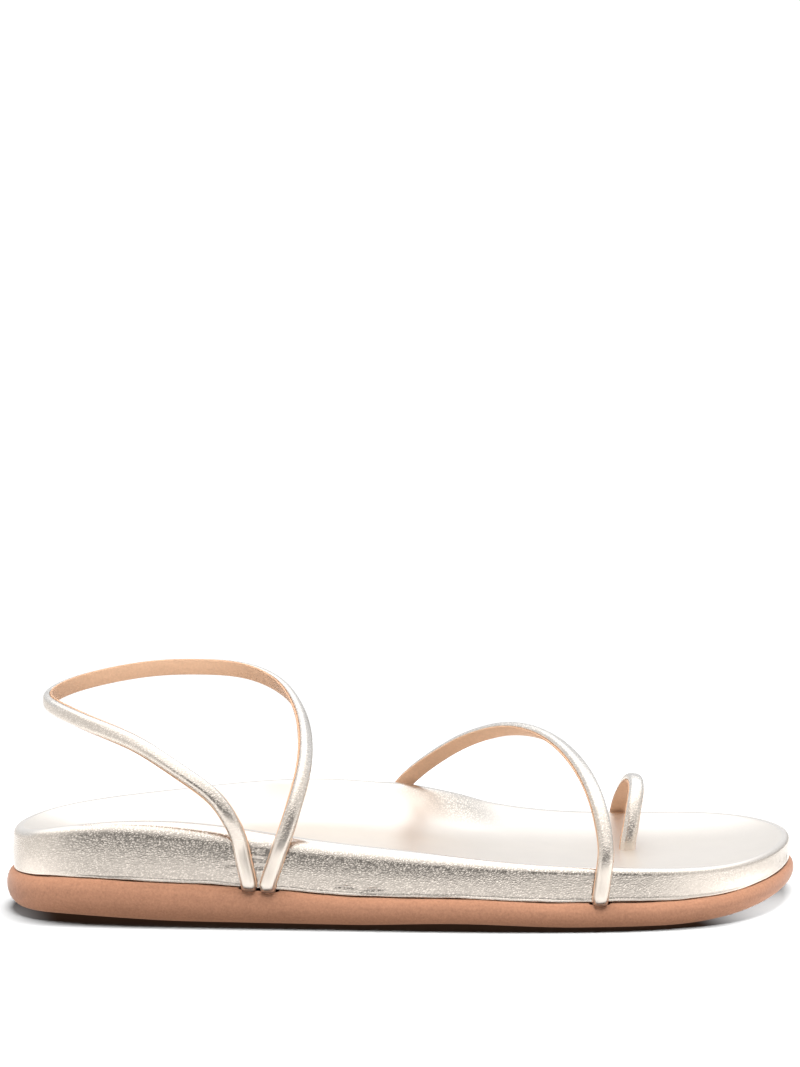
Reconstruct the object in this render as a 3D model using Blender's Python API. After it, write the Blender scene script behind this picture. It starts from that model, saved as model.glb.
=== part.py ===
"""Right-foot footbed sandal: a bullnose outsole, a moulded footbed and three rolled leather straps.

Tables and sizes are in millimetres, and the mesh is written in metres. While a shape is worked out,
x runs from the back of the heel to the toe, y from the foot's outer side (-) to its inner side (+)
and z up from the floor. The finished part has its origin on the floor, under the middle of its box.
"""

import math
from collections import namedtuple

import bmesh
import bpy
import numpy as np

MM = 0.001

# Columns of the tables below
Place = namedtuple("Place", "name along across")  # shares of the length and of the ball width
SoleSection = namedtuple("SoleSection", "along thickness")
RimSection = namedtuple("RimSection", "along outer inner shoulder inset")
DishSection = namedtuple("DishSection", "along middle cup")
Stop = namedtuple("Stop", "x y z in_x in_y in_z")  # middle of a strap, and the way its lining faces
Anchor = namedtuple("Anchor", "side x leave_x leave_height")

# Driving dimensions
SOLE_LENGTH = 254.2
BALL_WIDTH = 94.5
GAP = 0.3  # clearance between pieces that touch
SLOT_GAP = 0.4  # room round the toe loop in its slit

# Outsole edge: a bullnose, rounder below its widest line than above it
EDGE_WIDEST = 0.58  # share of the thickness where the edge stands out furthest
EDGE_UNDER_RUN = 5.0
EDGE_OVER_RUN = 2.8

# What the outsole's underside clears the floor by, between its flat spots
HEEL_ROLL = 1.4
HEEL_ROLL_LENGTH = 46.0
HEEL_FLAT = (57.0, 105.0)
ARCH_LIFT = 0.9
BALL_FLAT = (179.0, 206.0)
TOE_SPRING = 5.0

# Footbed
WALL_BULGE = 0.35
FOOT_EDGE = 0.8  # rounding where the wall turns under
SPINE = (33.0, 222.0)  # the middle line of the dish, from heel cup to toes

# Straps: rolled leather, crowned outside and flat on the lining
STRAP_WIDTH = 5.0
STRAP_THICKNESS = 3.0
LINING_WIDTH = 4.2
LINING_EDGE = 0.7  # height of the rolled edge beside the lining
TAIL_LENGTH = 11.0  # skived end held between footbed and outsole
TAIL_THICKNESS = 1.0
TAIL_DEPTH = 0.6  # middle of the tail below the outsole's top
BEND_RUN = 1.6  # how far in from the wall the bend into the tail ends
BEND_RISE = 1.8  # how far over the outsole's top the bend begins

# Mesh density
SIDE_STEPS = 54  # points along each side of the outline
CROWN_STEPS = 8
STRAP_STEP = 4.6

# Outline of the outsole's widest line, from the heel along the outer side to the toe and back
OUTLINE = [
    Place(*row)
    for row in (
        ("heel_back", 0.000, -0.036),
        ("heel_corner_outer", 0.028, -0.217),
        ("heel_outer", 0.138, -0.316),
        ("waist_outer", 0.406, -0.430),
        ("ball_outer", 0.693, -0.515),
        ("toe_outer", 0.914, -0.381),
        ("toe_tip", 1.000, 0.095),
        ("toe_inner", 0.946, 0.400),
        ("ball_inner", 0.731, 0.476),
        ("waist_inner", 0.422, 0.343),
        ("heel_inner", 0.125, 0.338),
        ("heel_corner_inner", 0.026, 0.185),
    )
]

# Thickness of the outsole along the length
SOLE_THICKNESS = [
    SoleSection(*row)
    for row in (
        (0.00, 11.4),
        (0.06, 12.2),
        (0.13, 12.6),
        (0.23, 12.5),
        (0.43, 9.7),
        (0.58, 8.4),
        (0.74, 8.4),
        (0.88, 7.9),
        (1.00, 7.2),
    )
]

# Rim of the footbed: outer and inner rim over the floor, the radius of the shoulder under them, and
# the step from the outsole's widest line in to the wall
RIM = [
    RimSection(*row)
    for row in (
        (0.00, 26.4, 26.4, 2.6, 2.3),
        (0.12, 31.0, 29.6, 3.5, 2.2),
        (0.23, 31.1, 32.7, 5.6, 2.1),
        (0.37, 26.8, 35.4, 5.0, 2.1),
        (0.51, 23.3, 31.9, 4.0, 2.1),
        (0.64, 20.3, 23.8, 2.6, 2.1),
        (0.78, 18.7, 20.2, 1.9, 2.1),
        (0.92, 18.0, 20.3, 1.6, 2.1),
        (1.00, 19.8, 19.8, 1.6, 1.5),
    )
]

# Dish of the footbed: its middle over the floor, and how late the cup turns up to the rim
DISH = [
    DishSection(*row)
    for row in (
        (0.00, 22.4, 2.4),
        (0.12, 21.6, 2.5),
        (0.23, 21.6, 2.7),
        (0.37, 23.2, 3.3),
        (0.51, 20.0, 3.3),
        (0.64, 16.0, 3.4),
        (0.78, 13.8, 3.8),
        (0.92, 15.8, 4.0),
        (1.00, 17.3, 4.0),
    )
]

# Free run of the ankle strap, back round the heel and over the instep
ANKLE_ROUTE = [
    Stop(*row)
    for row in (
        (71.2, -37.4, 33.3, 0.03, 1.00, -0.08),
        (66.2, -36.6, 40.9, -0.10, 0.95, -0.30),
        (55.6, -34.0, 48.8, -0.01, 0.87, -0.49),
        (41.9, -28.0, 56.7, 0.22, 0.85, -0.47),
        (28.1, -20.0, 61.3, 0.50, 0.81, -0.30),
        (17.9, -10.5, 64.2, 0.78, 0.62, -0.12),
        (13.4, -0.5, 66.0, 1.00, 0.06, 0.01),
        (16.6, 9.0, 67.8, 0.88, -0.46, 0.00),
        (27.0, 19.0, 69.8, 0.60, -0.80, 0.00),
        (45.9, 26.2, 72.0, 0.18, -0.98, 0.00),
        (62.3, 27.9, 72.3, -0.10, -0.98, -0.05),
        (76.3, 24.3, 71.7, -0.40, -0.88, -0.20),
        (86.8, 15.4, 68.9, -0.66, -0.62, -0.40),
        (92.8, 2.0, 64.3, -0.82, -0.10, -0.52),
        (95.3, -15.5, 57.3, -0.74, 0.46, -0.44),
        (94.5, -28.0, 48.4, -0.48, 0.82, -0.24),
        (91.5, -35.0, 38.7, -0.20, 0.97, -0.06),
        (88.6, -37.2, 30.6, 0.02, 1.00, -0.02),
    )
]

# Free run of the instep strap, from the outer side of the ball to the inner arch
INSTEP_ROUTE = [
    Stop(*row)
    for row in (
        (187.8, -48.6, 22.4, 0.02, 1.00, -0.02),
        (187.9, -46.9, 28.3, -0.05, 0.97, -0.22),
        (186.4, -42.0, 37.5, -0.20, 0.82, -0.50),
        (183.9, -34.0, 44.6, -0.30, 0.56, -0.74),
        (180.1, -24.0, 50.1, -0.38, 0.28, -0.86),
        (174.6, -13.0, 54.0, -0.44, 0.00, -0.88),
        (168.1, -3.0, 55.6, -0.48, -0.22, -0.84),
        (160.9, 6.0, 54.9, -0.46, -0.40, -0.78),
        (154.1, 14.0, 52.2, -0.36, -0.56, -0.72),
        (146.5, 22.0, 47.7, -0.20, -0.72, -0.62),
        (138.7, 28.6, 41.7, -0.02, -0.85, -0.48),
        (131.6, 33.3, 35.2, 0.08, -0.96, -0.22),
    )
]

# Free run of the toe loop, up from its slot in the footbed, over the big toe and out to the inner wall
TOE_ROUTE = [
    Stop(*row)
    for row in (
        (200.5, 9.8, 15.5, 0.00, 1.00, 0.00),
        (201.3, 10.5, 19.8, 0.00, 1.00, -0.05),
        (202.6, 12.6, 26.5, -0.04, 0.96, -0.25),
        (203.9, 16.8, 32.1, -0.10, 0.66, -0.72),
        (204.1, 22.8, 34.6, -0.14, 0.10, -0.98),
        (203.1, 28.4, 33.9, -0.10, -0.34, -0.92),
        (201.8, 34.4, 30.0, -0.04, -0.74, -0.66),
        (200.9, 41.7, 24.8, 0.00, -0.94, -0.34),
    )
]

# Strap ends on the wall: where each comes up, and where and how high it leaves the wall
OUTER, INNER = -1, 1
ANCHORS = {
    "ankle_back": Anchor(OUTER, 76.5, 73.7, 26.8),
    "ankle_front": Anchor(OUTER, 82.5, 86.4, 25.0),
    "instep_outer": Anchor(OUTER, 186.3, 187.2, 17.4),
    "instep_inner": Anchor(INNER, 120.5, 126.4, 28.6),
    "toe_inner": Anchor(INNER, 200.2, 200.2, 18.2),
}

# Finishes: base colour, roughness, metallic
FINISHES = {
    "metallic_leather": ((0.80, 0.74, 0.63), 0.38, 1.0),
    "tan_nubuck": ((0.60, 0.33, 0.19), 0.75, 0.0),
}


def cubic(knots, values, at, closed=False):
    """A cubic curve with continuous curvature through values at knots, read at other places.

    A closed curve's last value repeats its first, and an open curve's ends run out straight.
    """
    knots = np.asarray(knots, float)
    values = np.asarray(values, float).reshape(len(knots), -1)
    step = np.diff(knots)
    slope = np.diff(values, axis=0) / step[:, None]
    count = len(step) if closed else len(knots)
    matrix = np.eye(count)
    right = np.zeros((count, values.shape[1]))
    rows = range(count) if closed else range(1, count - 1)
    for row in rows:
        before, after = step[row - 1], step[row]
        matrix[row, row] = 2 * (before + after)
        matrix[row, (row - 1) % count] += before
        matrix[row, (row + 1) % count] += after
        right[row] = 6 * (slope[row] - slope[row - 1])
    bend = np.linalg.solve(matrix, right)
    if closed:
        bend = np.vstack((bend, bend[:1]))
    at = np.atleast_1d(np.asarray(at, float))
    span = np.clip(np.searchsorted(knots, at, side="right") - 1, 0, len(step) - 1)
    width = step[span][:, None]
    ahead = (knots[span + 1] - at)[:, None]
    behind = (at - knots[span])[:, None]
    return (
        (bend[span] * ahead**3 + bend[span + 1] * behind**3) / (6 * width)
        + (values[span] / width - bend[span] * width / 6) * ahead
        + (values[span + 1] / width - bend[span + 1] * width / 6) * behind
    )


def chord_knots(points):
    """Knots that grow with the root of each chord, which keeps a curve from looping between points."""
    chords = np.linalg.norm(np.diff(points, axis=0), axis=1)
    return np.concatenate(([0.0], np.cumsum(np.sqrt(chords))))


def column(table, name, x):
    """One column of a table that is given along the length, read at distances from the heel."""
    stations = [row.along for row in table]
    values = [getattr(row, name) for row in table]
    share = np.clip(np.asarray(x, float) / SOLE_LENGTH, 0, 1)
    return cubic(stations, values, share)[:, 0]


def ease(share):
    """A step from 0 to 1 that starts and ends level."""
    share = np.clip(share, 0, 1)
    return share * share * (3 - 2 * share)


def even_run(points, steps):
    """The points that divide a run of points into equal steps."""
    lengths = np.concatenate(([0.0], np.cumsum(np.linalg.norm(np.diff(points, axis=0), axis=1))))
    wanted = np.linspace(0, lengths[-1], steps + 1)
    return np.column_stack([np.interp(wanted, lengths, points[:, i]) for i in (0, 1)])


def sole_outline():
    """The outsole's widest line: heel, along the outer side to the toe, and back along the inner side."""
    places = np.array([(place.along * SOLE_LENGTH, place.across * BALL_WIDTH) for place in OUTLINE])
    places = np.vstack((places, places[:1]))
    knots = chord_knots(places)
    fine = cubic(knots, places, np.linspace(0, knots[-1], 4001)[:-1], closed=True)
    fine = np.roll(fine, -int(np.argmin(fine[:, 0])), axis=0)
    toe = int(np.argmax(fine[:, 0]))
    outer_side = even_run(fine[: toe + 1], SIDE_STEPS)
    inner_side = even_run(np.vstack((fine[toe:], fine[:1])), SIDE_STEPS)
    edge = np.vstack((outer_side[:-1], inner_side[:-1]))
    reach = edge[:, 0].max() - edge[:, 0].min()
    edge[:, 0] = (edge[:, 0] - edge[:, 0].min()) * SOLE_LENGTH / reach
    return edge


EDGE = sole_outline()
RUN = np.roll(EDGE, -1, axis=0) - np.roll(EDGE, 1, axis=0)
OUTWARD = np.column_stack((RUN[:, 1], -RUN[:, 0])) / np.linalg.norm(RUN, axis=1)[:, None]
ON_OUTER_SIDE = np.arange(len(EDGE)) <= SIDE_STEPS
MIDDLE = np.array([SOLE_LENGTH / 2, (EDGE[:, 1].min() + EDGE[:, 1].max()) / 2, 0.0])


def dish_spine():
    """For each point of the outline, the point of the dish's middle line that it runs in to."""
    pairs = (EDGE + EDGE[-np.arange(len(EDGE))]) / 2
    half = pairs[: SIDE_STEPS + 1]
    along = np.clip(pairs[:, 0], *SPINE)
    return np.column_stack((along, np.interp(along, half[:, 0], half[:, 1])))


SPINE_POINTS = dish_spine()


def floor_clearance(x):
    """Height of the outsole's underside: zero on the heel and ball flats."""
    x = np.asarray(x, float)
    roll = HEEL_ROLL * ease((HEEL_FLAT[0] - x) / HEEL_ROLL_LENGTH)
    arch_share = np.clip((x - HEEL_FLAT[1]) / (BALL_FLAT[0] - HEEL_FLAT[1]), 0, 1)
    arch = ARCH_LIFT * np.sin(math.pi * arch_share) ** 2
    toe_share = np.clip((x - BALL_FLAT[1]) / (SOLE_LENGTH - BALL_FLAT[1]), 0, 1)
    return roll + arch + TOE_SPRING * toe_share**2


def sole_top(x):
    """Height of the face that the footbed is set on."""
    return floor_clearance(x) + column(SOLE_THICKNESS, "thickness", x)


def drawn_in(inset):
    """The outline in plan, moved inwards."""
    return EDGE - OUTWARD * np.reshape(inset, (-1, 1))


def towards_spine(plan, share):
    """A plan drawn in to the middle line: all of it at share 1, and the line itself at 0."""
    return SPINE_POINTS + share * (plan - SPINE_POINTS)


def raised(plan, heights):
    return np.column_stack((plan, heights))


def outsole_rings():
    """Rings from the middle of the underside, out round the bullnose and in over the top face."""
    rings = []
    bottom_edge = drawn_in(EDGE_UNDER_RUN)
    for share in (0.0, 0.5, 1.0):
        plan = towards_spine(bottom_edge, share)
        rings.append(raised(plan, floor_clearance(plan[:, 0])))
    foot = floor_clearance(EDGE[:, 0])
    thickness = column(SOLE_THICKNESS, "thickness", EDGE[:, 0])
    for turn in (22, 45, 68, 90):
        inset = EDGE_UNDER_RUN * (1 - math.sin(math.radians(turn)))
        rise = EDGE_WIDEST * (1 - math.cos(math.radians(turn)))
        rings.append(raised(drawn_in(inset), foot + rise * thickness))
    for turn in (28, 54, 76):
        inset = EDGE_OVER_RUN * (1 - math.cos(math.radians(turn)))
        rise = EDGE_WIDEST + (1 - EDGE_WIDEST) * math.sin(math.radians(turn))
        rings.append(raised(drawn_in(inset), foot + rise * thickness))
    top_edge = drawn_in(EDGE_OVER_RUN)
    for share in (1.0, 0.5, 0.0):
        plan = towards_spine(top_edge, share)
        rings.append(raised(plan, sole_top(plan[:, 0])))
    return rings


def rim_height():
    return np.where(ON_OUTER_SIDE, column(RIM, "outer", EDGE[:, 0]), column(RIM, "inner", EDGE[:, 0]))


def footbed_rings():
    """Rings from the middle of the underside, up the wall, over the shoulder and down into the dish."""
    rings = []
    wall = column(RIM, "inset", EDGE[:, 0])
    under_edge = drawn_in(wall + FOOT_EDGE)
    for share in (0.0, 0.5, 1.0):
        plan = towards_spine(under_edge, share)
        rings.append(raised(plan, sole_top(plan[:, 0]) + GAP))
    rim = rim_height()
    shoulder = column(RIM, "shoulder", EDGE[:, 0])
    wall_foot = sole_top(EDGE[:, 0]) + GAP + FOOT_EDGE
    wall_head = rim - shoulder
    for share in (0.0, 0.35, 0.7, 1.0):
        bulge = WALL_BULGE * math.sin(math.pi * share)
        heights = wall_foot + share * (wall_head - wall_foot)
        rings.append(raised(drawn_in(wall - bulge), heights))
    for turn in (35, 65):
        inset = wall + shoulder * (1 - math.cos(math.radians(turn)))
        rings.append(raised(drawn_in(inset), wall_head + shoulder * math.sin(math.radians(turn))))
    crest = drawn_in(wall + shoulder)
    for share in (1.0, 0.92, 0.82, 0.68, 0.5, 0.27, 0.0):
        plan = towards_spine(crest, share)
        middle = column(DISH, "middle", plan[:, 0])
        cup = share ** column(DISH, "cup", plan[:, 0])
        rings.append(raised(plan, middle + (rim - middle) * cup))
    return rings


def wall_at(x, side):
    """The footbed's wall at a distance from the heel: where it stands out most, and the way in."""
    half = np.arange(SIDE_STEPS + 1)
    index = half if side == OUTER else -half
    edge, outward = EDGE[index], OUTWARD[index]
    way_out = np.array([np.interp(x, edge[:, 0], outward[:, i]) for i in (0, 1)])
    way_out /= np.linalg.norm(way_out)
    inset = column(RIM, "inset", x)[0] - WALL_BULGE
    point = np.array([x, np.interp(x, edge[:, 0], edge[:, 1])]) - way_out * inset
    return point, -way_out


def anchor_rows(name):
    """A strap's end from the tip of its tail, round the footbed's lower edge and up the wall.

    Each row is the middle of the strap, the way that its lining faces, and its thickness.
    """
    end = ANCHORS[name]
    point, inwards = wall_at(end.x, end.side)
    way_in = np.array([*inwards, 0.0])
    up = np.array([0.0, 0.0, 1.0])
    foot = np.array([*point, sole_top(end.x)[0]])
    reach = BEND_RUN + GAP + STRAP_THICKNESS / 2
    drop = BEND_RISE + TAIL_DEPTH
    rows = []
    for run in (TAIL_LENGTH, (TAIL_LENGTH + BEND_RUN) / 2):
        rows.append((foot + way_in * run - up * TAIL_DEPTH, up, TAIL_THICKNESS))
    for turn in (90, 60, 30, 0):
        lean = math.radians(turn)
        run = BEND_RUN - reach * math.cos(lean)
        rise = BEND_RISE - drop * math.sin(lean)
        middle = foot + way_in * run + up * rise
        facing = way_in * math.cos(lean) + up * math.sin(lean)
        thickness = STRAP_THICKNESS + (TAIL_THICKNESS - STRAP_THICKNESS) * turn / 90
        rows.append((middle, facing, thickness))
    start_height = foot[2] + BEND_RISE
    for share in (0.5, 1.0):
        point, inwards = wall_at(end.x + share * (end.leave_x - end.x), end.side)
        plan = point - inwards * (GAP + STRAP_THICKNESS / 2)
        height = start_height + share * (end.leave_height - start_height)
        rows.append((np.array([*plan, height]), np.array([*inwards, 0.0]), STRAP_THICKNESS))
    return rows


def free_rows(route):
    """Rows, as the anchors have them, of a strap's run between its ends."""
    return [
        (np.array([stop.x, stop.y, stop.z]), np.array([stop.in_x, stop.in_y, stop.in_z]), STRAP_THICKNESS)
        for stop in route
    ]


def strap_section(thickness):
    """Points round a strap: across it, and out from its middle. The lining is the flat side."""
    turns = np.linspace(0, math.pi, CROWN_STEPS + 1)
    edge = LINING_EDGE * thickness / STRAP_THICKNESS
    crown = np.column_stack((STRAP_WIDTH / 2 * np.cos(turns), edge + (thickness - edge) * np.sin(turns)))
    lining = np.array([(-LINING_WIDTH / 2, 0.0), (LINING_WIDTH / 2, 0.0)])
    return np.vstack((crown, lining)) - (0.0, thickness / 2)


def strap_rings(rows):
    """Sections along a smooth route through the rows, each square to the route."""
    middles = np.array([row[0] for row in rows])
    knots = chord_knots(middles)
    data = np.column_stack((middles, [row[1] for row in rows], [row[2] for row in rows]))
    places = [knots[0]]
    for start, end, chord in zip(knots, knots[1:], np.linalg.norm(np.diff(middles, axis=0), axis=1)):
        steps = max(1, round(chord / STRAP_STEP))
        places.extend(np.linspace(start, end, steps + 1)[1:])
    read = cubic(knots, data, places)
    nudge = (knots[-1] - knots[0]) * 1e-4
    ahead = cubic(knots, data, np.clip(np.array(places) + nudge, knots[0], knots[-1]))
    behind = cubic(knots, data, np.clip(np.array(places) - nudge, knots[0], knots[-1]))
    tangents = ahead[:, :3] - behind[:, :3]
    tangents /= np.linalg.norm(tangents, axis=1)[:, None]
    facing = read[:, 3:6] - tangents * np.sum(read[:, 3:6] * tangents, axis=1)[:, None]
    facing /= np.linalg.norm(facing, axis=1)[:, None]
    across = np.cross(tangents, facing)
    thickness = np.interp(places, knots, data[:, 6])
    rings = []
    for middle, way_in, sideways, thick in zip(read[:, :3], facing, across, thickness):
        section = strap_section(thick)
        rings.append(middle + section[:, :1] * sideways - section[:, 1:] * way_in)
    return rings


def finish(name):
    """The material of a sub-part, made once."""
    made = bpy.data.materials.get(name)
    if made is None:
        colour, roughness, metallic = FINISHES[name]
        made = bpy.data.materials.new(name)
        made.use_nodes = True
        shader = made.node_tree.nodes["Principled BSDF"]
        shader.inputs["Base Color"].default_value = (*colour, 1.0)
        shader.inputs["Roughness"].default_value = roughness
        shader.inputs["Metallic"].default_value = metallic
    return made


def add_object(name, bm, parent, material=None):
    """A named object from a bmesh, under the sandal's empty."""
    mesh = bpy.data.meshes.new(name)
    bm.to_mesh(mesh)
    bm.free()
    if material:
        mesh.materials.append(finish(material))
        mesh.shade_smooth()
        mesh.set_sharp_from_angle(angle=math.radians(35))
    made = bpy.data.objects.new(name, mesh)
    bpy.context.scene.collection.objects.link(made)
    made.parent = parent
    return made


def skinned(rings, capped):
    """A closed bmesh over rings of equal count. Ends that aren't capped meet on the spine."""
    bm = bmesh.new()
    loops = [[bm.verts.new((point - MIDDLE) * MM) for point in ring] for ring in rings]
    count = len(loops[0])
    for lower, upper in zip(loops, loops[1:]):
        for i in range(count):
            j = (i + 1) % count
            bm.faces.new((lower[i], lower[j], upper[j], upper[i]))
    if capped:
        bm.faces.new(reversed(loops[0]))
        bm.faces.new(loops[-1])
    else:
        bmesh.ops.remove_doubles(bm, verts=loops[0] + loops[-1], dist=0.01 * MM)
    bmesh.ops.recalc_face_normals(bm, faces=bm.faces)
    return bm


def add_cutter(name, middle, size, way, parent):
    """A box that is cut away: its middle, its size along, across and up, and its way along in plan."""
    bm = bmesh.new()
    bmesh.ops.create_cube(bm, size=1.0)
    for vert in bm.verts:
        along, across, up = (vert.co[i] * size[i] for i in range(3))
        plan = np.array([way[0] * along - way[1] * across, way[1] * along + way[0] * across, up])
        vert.co = (np.array(middle) + plan - MIDDLE) * MM
    cutter = add_object(name, bm, parent)
    cutter.hide_render = True
    cutter.display_type = "WIRE"
    return cutter


def cut(target, cutter):
    modifier = target.modifiers.new(cutter.name, "BOOLEAN")
    modifier.operation = "DIFFERENCE"
    modifier.solver = "EXACT"
    modifier.object = cutter


def cut_strap_pockets(outsole, parent):
    """Recesses in the outsole's top that the skived tails lie in."""
    single = STRAP_WIDTH + 2 * GAP
    back, front = ANCHORS["ankle_back"].x, ANCHORS["ankle_front"].x
    pockets = (
        ("ankle_pocket", (back + front) / 2, OUTER, single + front - back),
        ("instep_outer_pocket", ANCHORS["instep_outer"].x, OUTER, single),
        ("instep_inner_pocket", ANCHORS["instep_inner"].x, INNER, single),
        ("toe_pocket", ANCHORS["toe_inner"].x, INNER, single),
    )
    outside = 6.0
    headroom = 4.0
    for name, x, side, width in pockets:
        point, way_in = wall_at(x, side)
        length = TAIL_LENGTH + 2 * GAP + outside
        plan = point + way_in * (length / 2 - outside)
        floor = sole_top(x)[0] - TAIL_DEPTH - TAIL_THICKNESS / 2 - GAP
        height = headroom + TAIL_DEPTH
        middle = (*plan, floor + height / 2)
        cut(outsole, add_cutter(name, middle, (length, width, height), way_in, parent))


def cut_toe_slot(footbed, parent):
    """The slit through the footbed that the toe loop's inner end comes up from."""
    stop = TOE_ROUTE[0]
    height = 30.0
    size = (STRAP_WIDTH + 2 * SLOT_GAP, STRAP_THICKNESS + 2 * SLOT_GAP, height)
    cut(footbed, add_cutter("toe_slot", (stop.x, stop.y, stop.z), size, (1.0, 0.0), parent))


def build():
    for old in list(bpy.data.objects):
        bpy.data.objects.remove(old)
    sandal = bpy.data.objects.new("sandal", None)
    bpy.context.scene.collection.objects.link(sandal)

    outsole = add_object("outsole", skinned(outsole_rings(), capped=False), sandal, "tan_nubuck")
    cut_strap_pockets(outsole, sandal)

    footbed = add_object("footbed", skinned(footbed_rings(), capped=False), sandal, "metallic_leather")
    cut_toe_slot(footbed, sandal)

    toe_start = TOE_ROUTE[0]._replace(z=sole_top(TOE_ROUTE[0].x)[0] + GAP)
    straps = {
        "ankle_strap": anchor_rows("ankle_back")
        + free_rows(ANKLE_ROUTE)
        + anchor_rows("ankle_front")[::-1],
        "instep_strap": anchor_rows("instep_outer")
        + free_rows(INSTEP_ROUTE)
        + anchor_rows("instep_inner")[::-1],
        "toe_loop": free_rows([toe_start, *TOE_ROUTE]) + anchor_rows("toe_inner")[::-1],
    }
    for name, rows in straps.items():
        add_object(name, skinned(strap_rings(rows), capped=True), sandal, "metallic_leather")


build()
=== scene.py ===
"""Footbed sandal for the right foot, dressed in pale gold and tan leather on a white studio floor.

Tables are in millimetres: x runs from the back of the heel to the toe, y from the foot's outer side (-)
to its inner side (+) and z up from the floor. Meshes are in metres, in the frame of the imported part.
"""

import math
from collections import namedtuple

import bmesh
import bpy
import numpy as np
from bpy.props import FloatProperty, FloatVectorProperty, PointerProperty
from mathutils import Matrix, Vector


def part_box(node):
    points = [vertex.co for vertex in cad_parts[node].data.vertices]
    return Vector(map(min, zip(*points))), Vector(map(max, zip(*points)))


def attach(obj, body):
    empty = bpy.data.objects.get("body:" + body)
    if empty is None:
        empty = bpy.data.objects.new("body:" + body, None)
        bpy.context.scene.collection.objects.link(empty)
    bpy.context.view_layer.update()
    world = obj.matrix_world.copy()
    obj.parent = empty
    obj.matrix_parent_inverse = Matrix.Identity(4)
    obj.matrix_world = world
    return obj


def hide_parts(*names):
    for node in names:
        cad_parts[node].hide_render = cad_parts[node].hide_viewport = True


bl_info = {
    "name": "Footbed Sandal",
    "version": (1, 0, 0),
    "blender": (4, 5, 0),
    "location": "View3D > Sidebar > Sandal",
    "description": "Dresses the packed sandal in gold and tan leather, on a white studio floor",
    "category": "Object",
}

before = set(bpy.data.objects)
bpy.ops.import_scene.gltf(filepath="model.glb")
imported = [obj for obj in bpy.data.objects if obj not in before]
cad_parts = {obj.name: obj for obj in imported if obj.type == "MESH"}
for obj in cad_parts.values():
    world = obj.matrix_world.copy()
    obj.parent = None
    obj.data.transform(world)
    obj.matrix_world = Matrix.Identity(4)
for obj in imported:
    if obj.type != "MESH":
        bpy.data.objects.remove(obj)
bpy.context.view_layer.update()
BODY = "root"
GLOSS, GRAIN = "gloss", "grain"  # shares that gold pieces carry, point by point
MM = 0.001

# Columns of the tables below
Place = namedtuple("Place", "along across")  # shares of the length and of the ball width
SoleSection = namedtuple("SoleSection", "along thickness")
RimSection = namedtuple("RimSection", "along outer inner shoulder inset")
DishSection = namedtuple("DishSection", "along middle cup")
Stop = namedtuple("Stop", "x y z in_x in_y in_z")  # middle of a strap, and the way its lining faces
Anchor = namedtuple("Anchor", "side x leave_x leave_height")
Wave = namedtuple("Wave", "count height phase")  # waves round the sole, as hand-laid leather has
Lamp = namedtuple("Lamp", "name way energy spread lit")  # lit: a word in the names of the pieces
Pool = namedtuple("Pool", "name place radius power")
Crease = namedtuple("Crease", "side x z lean length width depth")  # lean in degrees from upright
Spot = namedtuple("Spot", "x y reach_x reach_y swell")  # in the dish


def table(kind, *rows):
    """Rows of numbers with the names of their columns."""
    return [kind(*row) for row in rows]


# Outsole edge and underside
EDGE_WIDEST = 0.58  # share of the thickness where the bullnose stands out furthest
EDGE_UNDER_RUN = 5.0
EDGE_OVER_RUN = 2.8
HEEL_ROLL = 1.4
HEEL_ROLL_LENGTH = 46.0
HEEL_FLAT = (57.0, 105.0)
ARCH_LIFT = 0.9
BALL_FLAT = (179.0, 206.0)
TOE_SPRING = 5.0

# Footbed
GAP = 0.3  # between pieces that touch
WALL_BULGE = 0.35
SEAM = 0.12  # open joint with the outsole
FOOT_EDGE = 0.4  # rounding where the wall turns under
FOOT_FLARE = 0.30  # how far the leather is turned out at the wall's foot
FLARE_RISE = 0.5
LAND = (0.7, 1.8)  # level top of the outer and inner rim, from shoulder to dish
LAND_GLOSS = (0.2, 0.7)
SPINE = (33.0, 222.0)  # the middle line of the dish, from heel cup to toes
RIM_ROUNDS = 4  # how often the turn from wall to dish is evened out
RIM_REACH = (6, 3)  # rings before the shoulder and after the crest that this takes in
FOOT_GRAIN = 0.2  # share of the grain at the wall's foot
FOOT_GRAIN_RISE = 0.12  # share of the wall's height where the grain is whole
SHOULDER_GRAIN = (74.4, 12.4)  # degrees round the shoulder with no grain and with all of it

# Where the footbed changes, from none of the change to all of it
HEEL_END = (50.0, 10.0)
TOE_END = (200.0, 240.0)
INNER_SIDE = (-20.0, 20.0)  # across
FLAT_WALL = (110.0, 190.0)
HEEL_NARROW_LAND = (36.0, 6.0)
TOE_NARROW_LAND = (205.0, 240.0)
HEEL_SMOOTH = (26.0, 6.0)
TOE_SMOOTH = (196.0, 220.0)

# Share that each change takes away
END_FLARE_LOSS = 0.8
END_GLOSS_LOSS = 0.5
BULGE_LOSS = 0.8
HEEL_LAND_LOSS = 0.7
TOE_LAND_LOSS = (0.7, 0.21)  # outer and inner side
HEEL_GRAIN_LOSS = 0.5
TOE_GRAIN_LOSS = 0.6

# Straps
LINING_EDGE = 0.9  # height of the rolled edge over the lining's face
ROLL_HALF = 0.475  # half of the roll, as a share of the strap's width
CROWN_FLATNESS = 0.72  # 1 for an ellipse, and less for a flatter crown
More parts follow.
